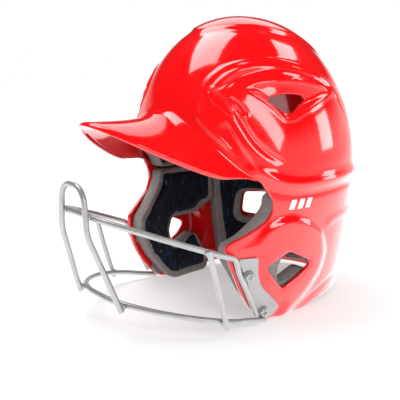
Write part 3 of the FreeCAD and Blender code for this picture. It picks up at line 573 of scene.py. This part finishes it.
def use_group(tree, group, **values):
    """Adds a node group with its inputs set and returns its outputs."""
    node = tree.nodes.new("ShaderNodeGroup")
    node.node_tree = group
    for label, value in values.items():
        node.inputs[label].default_value = value
    return node.outputs


def own_place(tree):
    """The place of each point on the object itself."""
    return add_node(tree, "ShaderNodeTexCoord").outputs["Object"]


def bumped(tree, height, strength, distance):
    """A normal that follows a height."""
    node = add_node(tree, "ShaderNodeBump", {"Height": height, "Strength": strength, "Distance": distance})
    return node.outputs["Normal"]


def new_material(name):
    """A material with its Principled shader."""
    material = bpy.data.materials.new(name)
    material.use_nodes = True
    return material, material.node_tree, material.node_tree.nodes["Principled BSDF"]


def set_shader(tree, shader, **sockets):
    """Sets or links the shader's sockets, whose names are given with underscores for spaces."""
    for name, value in sockets.items():
        if isinstance(value, bpy.types.NodeSocket):
            tree.links.new(value, shader.inputs[name.replace("_", " ")])
        else:
            shader.inputs[name.replace("_", " ")].default_value = value


# grain of a surface that came out of a mould or a roller: a broad ripple and a fine one
grain, taken, given = new_group("surface_grain", {"Broad": 60.0, "Fine": 900.0, "Fine Share": 0.3},
                                ["Height"])
where = own_place(grain)
broad = add_node(grain, "ShaderNodeTexNoise", {"Vector": where, "Scale": taken["Broad"], "Detail": 1.0})
fine = add_node(grain, "ShaderNodeTexNoise", {"Vector": where, "Scale": taken["Fine"], "Detail": 2.0})
mixed = add_node(grain, "ShaderNodeMix", {"Factor": taken["Fine Share"], "A": broad.outputs["Fac"],
                                          "B": fine.outputs["Fac"]})
grain.links.new(mixed.outputs["Result"], given["Height"])

# marks of handling: cloudy smudges, and fine scuffs that run across the surface
handling, taken, given = new_group("handling_marks", {"Smudge Scale": 22.0, "Scuff Scale": 60.0},
                                   ["Smudge", "Scuff"])
where = own_place(handling)
cloud = add_node(handling, "ShaderNodeTexNoise", {"Vector": where, "Scale": taken["Smudge Scale"],
                                                  "Detail": 4.0, "Roughness": 0.6})
smudge = add_node(handling, "ShaderNodeMapRange", {"Value": cloud.outputs["Fac"], "From Min": 0.45,
                                                   "From Max": 0.75})
slanted = add_node(handling, "ShaderNodeMapping", {"Vector": where, "Rotation": (0.5, 0.9, 0.3),
                                                   "Scale": (1.0, 9.0, 1.0)})
streak = add_node(handling, "ShaderNodeTexNoise", {"Vector": slanted.outputs["Vector"],
                                                   "Scale": taken["Scuff Scale"], "Detail": 3.0})
scuff = add_node(handling, "ShaderNodeMapRange", {"Value": streak.outputs["Fac"], "From Min": 0.66,
                                                  "From Max": 0.74})
handling.links.new(smudge.outputs["Result"], given["Smudge"])
handling.links.new(scuff.outputs["Result"], given["Scuff"])

# glossy ABS, deep red right through, polished by the mould, with a faint ripple and light handling marks
red, tree, shader = new_material("glossy_red_plastic")
ripple = use_group(tree, grain, **{"Broad": 34.0, "Fine": 420.0, "Fine Share": 0.16})["Height"]
marks = use_group(tree, handling, **{"Smudge Scale": 14.0, "Scuff Scale": 30.0})
tint = ramp(tree, marks["Smudge"], (0.0, (0.72, 0.0022, 0.0040)), (1.0, (0.66, 0.0030, 0.0045)))
gloss = ramp(tree, marks["Smudge"], (0.0, 0.10), (1.0, 0.17))
worn = add_node(tree, "ShaderNodeMath", {0: marks["Scuff"], 1: 0.08, 2: gloss}, operation="MULTIPLY_ADD")
set_shader(tree, shader, Base_Color=tint, Roughness=worn.outputs["Value"],
           Normal=bumped(tree, ripple, 0.05, 0.002), Coat_Weight=0.5, Coat_Roughness=0.03, Coat_IOR=1.5,
           IOR=1.46)
shell_moulding.data.materials.append(red)

# ------------------------------------------------------------------ foam pads
# Each pad's core is die cut from 14 mm closed-cell grey foam and glued to the inside of the shell: a
# band round the brow, a cross under the crown, and a temple, jaw and rear pad on each side. The jaw
# pad is a C that leaves the ear free, and the rear pads leave the rear vents free.
PAD_ROUND, NAPE_HALF_GAP, REAR_VENT_CLEAR = 6, 6.0, 4.0
OUTLINES = {
    "jaw_pad": [(-37, 112), (-37, 102), (-43, 92), (-58.5, 77), (-71, 69), (-70, 55), (-56, 29), (-36, 4),
                (-28, 1), (14, 3), (17, 15), (6.4, 44.1), (-16, 33.1), (-25.8, 32.1), (-27.8, 49),
                (-21.8, 61.8), (8.4, 61.8), (33.5, 75), (33.5, 112)],
    "temple_pad": [(-7.5, 114.5), (60, 114.5), (60, 164.5), (-7.5, 164.5)],
    "rear_pad": [(38, 10), (130, 10), (130, 112), (38, 112)],
    "brow_pad": [(-10, 114.5), (-36, 114.5), (-43, 126), (-69.1, 144.9), (-106, 166), (-106, 200), (-48, 196),
                 (-10, 164.5)],
    "crown_pad": [(-20, -56), (20, -56), (20, -20), (34, -20), (34, 20), (20, 20), (20, 56), (-20, 56),
                  (-20, 20), (-34, 20), (-34, -20), (-20, -20)],
}
OUTLINES = {kind: rounded([(*point, PAD_ROUND) for point in points]) for kind, points in OUTLINES.items()}
SIDED = ("jaw_pad", "temple_pad", "rear_pad")


def pad_field(kind, margin):
    """A field that is positive inside a pad's outline drawn in by a margin."""
    def field(points):
        side = local(points)
        if kind == "crown_pad":
            plan = np.stack([points[:, 0], side[:, 0]], axis=1)
            return np.minimum(-outline_distance(plan, OUTLINES[kind]) - margin, points[:, 2] - WIDEST_Z)
        inside = -outline_distance(side, OUTLINES[kind]) - margin
        if kind in SIDED:
            inside = np.minimum(inside, points[:, 0] - NAPE_HALF_GAP - margin)
        if kind == "rear_pad":
            vent = outline_distance(rear_plane(points), REAR_VENT)
            inside = np.minimum(inside, vent - REAR_VENT_CLEAR - margin)
        return inside
    return field


PAD_SQUARES, PAD_ROWS = 44, 34


def pad_sheet(kind, inset, margin):
    """A pad's outline as an open sheet that lies inside the shell, at an inset from its face."""
    sheet = helmet_form(PAD_SQUARES, PAD_ROWS, inset)
    trim(sheet, pad_field(kind, margin))
    return sheet


def mirrored_copy(bm):
    """The mesh turned into its mirror image across the middle of the helmet."""
    copy = bm.copy()
    bmesh.ops.scale(copy, vec=(-1, 1, 1), verts=copy.verts)
    bmesh.ops.reverse_faces(copy, faces=copy.faces)
    return copy


def both_sides(kind, bm):
    """(name, mesh) of a pad's own mesh, or of its left and right ones."""
    if kind not in SIDED:
        return [(kind, bm)]
    return [("left_" + kind, bm), ("right_" + kind, mirrored_copy(bm))]


foam, tree, shader = new_material("grey_closed_cell_foam")
cells = use_group(tree, grain, **{"Broad": 240.0, "Fine": 1500.0, "Fine Share": 0.6})["Height"]
where = own_place(tree)
pores = add_node(tree, "ShaderNodeTexVoronoi", {"Vector": where, "Scale": 1100.0}).outputs["Distance"]
pitted = add_node(tree, "ShaderNodeMath", {0: cells, 1: pores}, operation="ADD").outputs["Value"]
foam_tint = ramp(tree, cells, (0.3, (0.17, 0.155, 0.15)), (0.7, (0.28, 0.26, 0.25)))
foam_rough = ramp(tree, pores, (0.0, 0.98), (1.0, 0.85))
set_shader(tree, shader, Base_Color=foam_tint, Roughness=foam_rough,
           Normal=bumped(tree, pitted, 0.5, 0.0005), Specular_IOR_Level=0.2)

FOAM_OUTER, FOAM_THICK, FOAM_ROUND = 3.5, 14.3, 1.6
SKIN_DEPTH, LEAST_SLANT = 0.05, 0.6
outer_form = helmet_form(PAD_SQUARES, PAD_ROWS, FOAM_OUTER)
outer_face = BVHTree.FromBMesh(outer_form)
outer_form.free()


def square_up(bm):
    """Leans a side pad's walls straight across the helmet, as its die cut them, at the same depth."""
    for vert in bm.verts:
        place, normal, _, depth = outer_face.find_nearest(vert.co)
        if depth > SKIN_DEPTH:
            vert.co = place - Vector((depth / max(abs(normal.x), LEAST_SLANT), 0, 0))


for kind in OUTLINES:
    core = pad_sheet(kind, FOAM_OUTER, 0.0)
    give_wall(core, FOAM_THICK, 0.5, FOAM_ROUND)
    if kind in ("jaw_pad", "temple_pad"):
        square_up(core)
    for name, bm in both_sides(kind, core):
        piece = new_piece(name + "_foam", bm)
        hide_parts(name)
        piece.data.materials.append(foam)

# ------------------------------------------------------------------ pad covers
# Black polyester fleece, flecked with navy, is heat pressed over each pad's inner face. The foam fills
# it out, so the face is crowned, and the pressed edge shows as a thin pale line on the foam's corner.
COVER_OUTER, COVER_THICK, COVER_MARGIN, COVER_SWELL = 14.8, 4.0, 2.6, 1.7
VOXEL, FRAMES, PRESSURE = 0.0024, 20, 4.0


def baked(piece):
    """Applies everything on a piece's modifier list to its mesh."""
    depsgraph = bpy.context.evaluated_depsgraph_get()
    mesh = bpy.data.meshes.new_from_object(piece.evaluated_get(depsgraph))
    piece.modifiers.clear()
    piece.data = mesh
    return places(mesh.vertices)


fabric, tree, shader = new_material("flecked_black_fleece")
where = own_place(tree)
tall = add_node(tree, "ShaderNodeMapping", {"Vector": where, "Scale": (1.0, 1.0, 0.42)}).outputs["Vector"]
patches = add_node(tree, "ShaderNodeTexNoise", {"Vector": tall, "Scale": 230.0, "Detail": 3.0,
                                                "Roughness": 0.7})
specks = add_node(tree, "ShaderNodeTexNoise", {"Vector": tall, "Scale": 420.0, "Detail": 2.0})
navy = ramp(tree, patches.outputs["Fac"], (0.50, (0.0035, 0.004, 0.006)), (0.60, (0.006, 0.018, 0.045)),
            (0.72, (0.012, 0.045, 0.11)))
pale = ramp(tree, specks.outputs["Fac"], (0.66, 0.0), (0.76, 1.0))
flecked = add_node(tree, "ShaderNodeMix", {"Factor": pale, "A": navy, "B": (0.10, 0.15, 0.24, 1)},
                   data_type="RGBA")
nap = use_group(tree, grain, **{"Broad": 520.0, "Fine": 1900.0, "Fine Share": 0.5})["Height"]
knit = add_node(tree, "ShaderNodeTexVoronoi", {"Vector": tall, "Scale": 900.0}).outputs["Distance"]
pile = add_node(tree, "ShaderNodeMath", {0: nap, 1: knit}, operation="ADD").outputs["Value"]
fabric_rough = ramp(tree, nap, (0.3, 0.8), (0.7, 1.0))
set_shader(tree, shader, Base_Color=flecked.outputs["Result"], Roughness=fabric_rough,
           Normal=bumped(tree, pile, 0.6, 0.0006), Sheen_Weight=0.12, Sheen_Roughness=0.4,
           Specular_IOR_Level=0.15)

pressed, tree, shader = new_material("pressed_fabric_edge")
weave = use_group(tree, grain, **{"Broad": 700.0, "Fine": 2400.0, "Fine Share": 0.5})["Height"]
pressed_tint = ramp(tree, weave, (0.35, (0.13, 0.125, 0.13)), (0.65, (0.26, 0.25, 0.25)))
set_shader(tree, shader, Base_Color=pressed_tint, Roughness=0.8, Normal=bumped(tree, weave, 0.4, 0.0003))

covers = {}
for kind in OUTLINES:
    skin = pad_sheet(kind, COVER_OUTER, COVER_MARGIN)
    give_wall(skin, COVER_THICK, 0.0, 0.8)
    covers[kind] = new_piece(kind + "_cover_blank", skin)
    remesh = covers[kind].modifiers.new("remesh", "REMESH")
    remesh.mode, remesh.voxel_size = "VOXEL", VOXEL
flat_places = {kind: baked(piece) for kind, piece in covers.items()}
for piece in covers.values():
    cloth = piece.modifiers.new("cloth", "CLOTH")
    cloth.settings.use_pressure = True
    cloth.settings.uniform_pressure_force = PRESSURE
    cloth.settings.effector_weights.gravity = 0.0
for step in range(1, FRAMES + 1):
    bpy.context.scene.frame_set(step)
for kind, piece in covers.items():
    filled = baked(piece)
    shift = filled - flat_places[kind]
    far = np.linalg.norm(shift, axis=1)[:, None]
    shift *= np.minimum(1, COVER_SWELL * MM / np.maximum(far, 1e-9))
    cushion = bmesh.new()
    cushion.from_mesh(piece.data)
    put(cushion.verts, (flat_places[kind] + shift) / MM)
    bpy.data.objects.remove(piece)
    bmesh.ops.smooth_vert(cushion, verts=cushion.verts, factor=0.5, use_axis_x=True, use_axis_y=True,
                          use_axis_z=True)
    for name, bm in both_sides(kind, cushion):
        cover = new_piece(name + "_fabric", bm)
        soften = cover.modifiers.new("soften", "SUBSURF")
        soften.levels = soften.render_levels = 1
        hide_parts(name + "_cover")
        cover.data.materials.append(fabric)


def closed_loops(edges):
    """The corners of each closed run of edges, in order."""
    beside, loops = neighbours(edges), []
    while beside:
        loop = [next(iter(beside))]
        while True:
            ahead = [v for v in beside.pop(loop[-1], []) if v in beside]
            if not ahead:
                break
            loop.append(ahead[0])
        loops.append(loop)
    return [loop for loop in loops if len(loop) > 5]


EDGE_RADIUS, EDGE_MARGIN = 0.45, 2.0
for kind in OUTLINES:
    outline_sheet = pad_sheet(kind, FOAM_OUTER + FOAM_THICK - 0.1, EDGE_MARGIN)
    curve = bpy.data.curves.new(kind + "_edge", "CURVE")
    curve.dimensions, curve.bevel_depth, curve.bevel_resolution = "3D", EDGE_RADIUS, 2
    for loop in closed_loops([e for e in outline_sheet.edges if e.is_boundary]):
        spline = curve.splines.new("NURBS")
        spline.points.add(len(loop) - 1)
        for point, corner in zip(spline.points, loop):
            point.co = (*corner.co, 1)
        spline.use_cyclic_u, spline.order_u = True, 3
    outline_sheet.free()
    line = bpy.data.objects.new(kind + "_edge_line", curve)
    bpy.context.scene.collection.objects.link(line)
    tube = bmesh.new()
    shown = line.evaluated_get(bpy.context.evaluated_depsgraph_get())
    tube.from_mesh(bpy.data.meshes.new_from_object(shown))
    bpy.data.objects.remove(line)
    for name, bm in both_sides(kind, tube):
        edge_piece = new_piece(name + "_pressed_edge", bm)
        edge_piece.data.materials.append(pressed)

# ------------------------------------------------------------------ face guard
# Five bent 4.8 mm steel wires and two stamped steel plates, MIG welded where they meet and nickel
# plated to a satin finish. The plates lie on the ear flaps and carry the screws.
GUARD_WIRES = ("top_wire", "bottom_wire", "centre_hoop", "left_side_bar", "right_side_bar")
GUARD_PLATES = ("left_side_plate", "right_side_plate")


def finish_nodes(names, material):
    """Gives carried-over pieces a material."""
    for name in names:
        for slot in NODES[name].material_slots:
            slot.material = material


def plated_metal(name, dark, light, rough, ripple_scale):
    """Plated steel with a satin, part matt sheen, faint draw marks and handling scuffs."""
    metal, tree, shader = new_material(name)
    drawn = use_group(tree, grain, **{"Broad": ripple_scale, "Fine": 1400.0, "Fine Share": 0.35})["Height"]
    marks = use_group(tree, handling, **{"Smudge Scale": 30.0, "Scuff Scale": 90.0})
    tint = ramp(tree, marks["Smudge"], (0.0, light), (1.0, dark))
    base_rough = ramp(tree, drawn, (0.3, rough - 0.05), (0.7, rough + 0.07))
    worn = add_node(tree, "ShaderNodeMath", {0: marks["Scuff"], 1: 0.12, 2: base_rough},
                    operation="MULTIPLY_ADD")
    set_shader(tree, shader, Base_Color=tint, Metallic=0.6, Roughness=worn.outputs["Value"],
               Normal=bumped(tree, drawn, 0.05, 0.0003))
    return metal


satin = plated_metal("satin_nickel_wire", (0.27, 0.27, 0.275), (0.36, 0.36, 0.365), 0.36, 160.0)
stamped = plated_metal("satin_nickel_plate", (0.23, 0.228, 0.23), (0.30, 0.297, 0.30), 0.42, 70.0)
finish_nodes(GUARD_WIRES, satin)
finish_nodes(GUARD_PLATES, stamped)


def node_surface(name):
    """A carried-over piece's surface, ready to be searched for its nearest point."""
    mesh = NODES[name].data
    corners = [v.co.copy() for v in mesh.vertices]
    return BVHTree.FromPolygons(corners, [tuple(p.vertices) for p in mesh.polygons])


def edge_points(name, spacing=0.0015):
    """Points along the edges of a carried-over piece, no further apart than spacing."""
    mesh = NODES[name].data
    for edge in mesh.edges:
        one, two = (mesh.vertices[k].co for k in edge.vertices)
        count = max(1, int((two - one).length / spacing))
        for k in range(count):
            yield one.lerp(two, k / count)


def meeting_point(name, other, side):
    """Where two pieces come nearest on one side of the helmet, and the way from one to the other."""
    surface = node_surface(other)
    nearest = min((surface.find_nearest(p)[3], k, p, surface.find_nearest(p)[0])
                  for k, p in enumerate(edge_points(name)) if p.x * side > 0)
    return (nearest[2] + nearest[3]) / 2, nearest[3] - nearest[2]


BEAD_RADIUS, BEAD_FLAT, BEAD_LUMPS = 3.1, 0.62, 0.12
beads = bmesh.new()
meetings = [("centre_hoop", wire, side) for wire in ("top_wire", "bottom_wire") for side in (1, -1)]
for side, side_name in ((1, "left"), (-1, "right")):
    meetings += [(side_name + "_side_bar", "top_wire", side), (side_name + "_side_bar", "bottom_wire", side)]
for name, other, side in meetings:
    middle, towards = meeting_point(name, other, side)
    turn = towards.to_track_quat("Z", "Y").to_matrix().to_4x4() if towards.length > 1e-7 else Matrix()
    place = Matrix.Translation(middle / MM) @ turn @ Matrix.Diagonal((1, 1, BEAD_FLAT, 1))
    blob = bmesh.ops.create_icosphere(beads, subdivisions=3, radius=BEAD_RADIUS, matrix=place)["verts"]
    for vert in blob:
        vert.co += (vert.co - middle / MM) * BEAD_LUMPS * noise.noise(vert.co * 0.9)
weld_beads = new_piece("weld_beads", beads)
weld = plated_metal("plated_weld", (0.25, 0.25, 0.25), (0.33, 0.33, 0.33), 0.42, 500.0)
weld_beads.data.materials.append(weld)

# ------------------------------------------------------------------ fasteners
# Two pan-head cross-recess screws hold each plate. They sit in cup washers outside and run into
# T-nuts whose flanges lie behind the flap. All are zinc plated.
zinc = plated_metal("zinc_plated_screw", (0.27, 0.27, 0.265), (0.36, 0.36, 0.355), 0.38, 240.0)
finish_nodes(("guard_screws", "cup_washers"), zinc)
dull_zinc = plated_metal("dull_zinc_nut", (0.24, 0.245, 0.24), (0.32, 0.32, 0.315), 0.45, 300.0)
finish_nodes(("tee_nuts",), dull_zinc)

# ------------------------------------------------------------------ side marks
# Three plain slanted bars of white transfer film, printed on the shell above each ear.
film, tree, shader = new_material("white_transfer_film")
speckle = use_group(tree, grain, **{"Broad": 300.0, "Fine": 1600.0, "Fine Share": 0.4})["Height"]
marks = use_group(tree, handling, **{"Smudge Scale": 60.0, "Scuff Scale": 180.0})
film_tint = ramp(tree, marks["Scuff"], (0.0, (0.86, 0.85, 0.84)), (1.0, (0.80, 0.62, 0.60)))
film_rough = ramp(tree, speckle, (0.3, 0.25), (0.7, 0.42))
set_shader(tree, shader, Base_Color=film_tint, Roughness=film_rough,
           Normal=bumped(tree, speckle, 0.1, 0.0002))
finish_nodes(("left_side_mark", "right_side_mark"), film)

# ------------------------------------------------------------------ floor, light and camera
# The helmet stands on a plain white table in a white studio whose upper part is dark, with five soft
# boxes round it: one overhead, two high behind, a low one behind and a slanted strip beside it.
FLOOR_HALF, LAMP_DISTANCE = 6.0, 2.0
floor_bm = bmesh.new()
bmesh.ops.create_grid(floor_bm, x_segments=1, y_segments=1, size=FLOOR_HALF)
floor_mesh = bpy.data.meshes.new("floor")
floor_bm.to_mesh(floor_mesh)
floor_bm.free()
floor = bpy.data.objects.new("floor", floor_mesh)
bpy.context.scene.collection.objects.link(floor)
white, tree, shader = new_material("white_floor")
where = own_place(tree)
reach = add_node(tree, "ShaderNodeVectorMath", {0: where}, operation="LENGTH").outputs["Value"]
glossy = add_node(tree, "ShaderNodeLightPath").outputs["Is Glossy Ray"]
far_off = add_node(tree, "ShaderNodeMath", {0: reach, 1: 0.25}, operation="MULTIPLY").outputs["Value"]
plain = ramp(tree, far_off, (0.05, 0.44), (0.5, 1.0))
glare = ramp(tree, far_off, (0.08, 1.8), (0.35, 0.5))
glow = add_node(tree, "ShaderNodeMix", {"Factor": glossy, "A": plain, "B": glare}).outputs["Result"]
set_shader(tree, shader, Base_Color=(0.44, 0.44, 0.44, 1), Roughness=0.7, Specular_IOR_Level=0.1,
           Emission_Color=(1, 1, 1, 1), Emission_Strength=glow)
floor_mesh.materials.append(white)

world = bpy.data.worlds.new("studio")
bpy.context.scene.world = world
world.use_nodes = True
tree = world.node_tree
path = add_node(tree, "ShaderNodeLightPath").outputs
heading = add_node(tree, "ShaderNodeTexCoord").outputs["Generated"]
climb = add_node(tree, "ShaderNodeSeparateXYZ", {"Vector": heading}).outputs["Z"]
mirrored_room = ramp(tree, climb, (0.10, 0.9), (0.26, 0.03))
lit = add_node(tree, "ShaderNodeMix", {"Factor": path["Is Glossy Ray"], "A": 0.95, "B": mirrored_room})
strength = add_node(tree, "ShaderNodeMix", {"Factor": path["Is Camera Ray"], "A": lit.outputs["Result"],
                                            "B": 1.0})
room = add_node(tree, "ShaderNodeBackground", {"Color": (1, 1, 1, 1), "Strength": strength.outputs["Result"]})
tree.links.new(room.outputs["Background"], tree.nodes["World Output"].inputs["Surface"])
bpy.context.scene.view_settings.view_transform = "Standard"


def softbox(name, towards, along, size, radiance, aim=(0, 0, 0.16)):
    """A rectangular soft light in a direction from the helmet, facing it, its long side along a line."""
    light = bpy.data.lights.new(name, "AREA")
    light.shape = "RECTANGLE"
    light.size, light.size_y = size
    light.energy = radiance * math.pi * size[0] * size[1]
    lamp = bpy.data.objects.new(name, light)
    away = Vector(towards).normalized()
    across = Vector(along).cross(away).normalized()
    lamp.location = Vector(aim) + away * LAMP_DISTANCE
    lamp.rotation_mode = "QUATERNION"
    lamp.rotation_quaternion = Matrix((across, away.cross(across), away)).transposed().to_quaternion()
    bpy.context.scene.collection.objects.link(lamp)


softbox("far_overhead_box", (-0.41, -0.19, 0.89), (0.26, -0.96, -0.1), (1.1, 1.5), 6.0)
softbox("far_rear_box", (-0.55, 0.50, 0.67), (0.7, 0.7, 0), (1.0, 1.3), 1.7)
softbox("rear_overhead_box", (0.15, 0.67, 0.73), (1, 0, 0), (0.5, 0.7), 5.0)
softbox("rear_side_window", (0.50, 0.86, 0.14), (0, 0, 1), (0.45, 0.5), 6.0)
softbox("near_side_strip", (0.86, -0.10, 0.42), (0.33, 0.56, -0.46), (0.42, 1.7), 8.5)

camera_data = bpy.data.cameras.new("camera")
camera = bpy.data.objects.new("camera", camera_data)
bpy.context.scene.collection.objects.link(camera)
bpy.context.scene.camera = camera
VIEW_TURN, VIEW_RISE = math.radians(51.6), math.radians(11.6)
camera_data.sensor_width, camera_data.lens = 36.0, 59.4
away = Vector((math.sin(VIEW_TURN) * math.cos(VIEW_RISE), -math.cos(VIEW_TURN) * math.cos(VIEW_RISE),
               math.sin(VIEW_RISE)))
camera.location = Vector((-0.0155, -0.0008, 0.0902)) + away * 0.6246
camera.rotation_mode = "QUATERNION"
camera.rotation_quaternion = away.to_track_quat("Z", "Y")
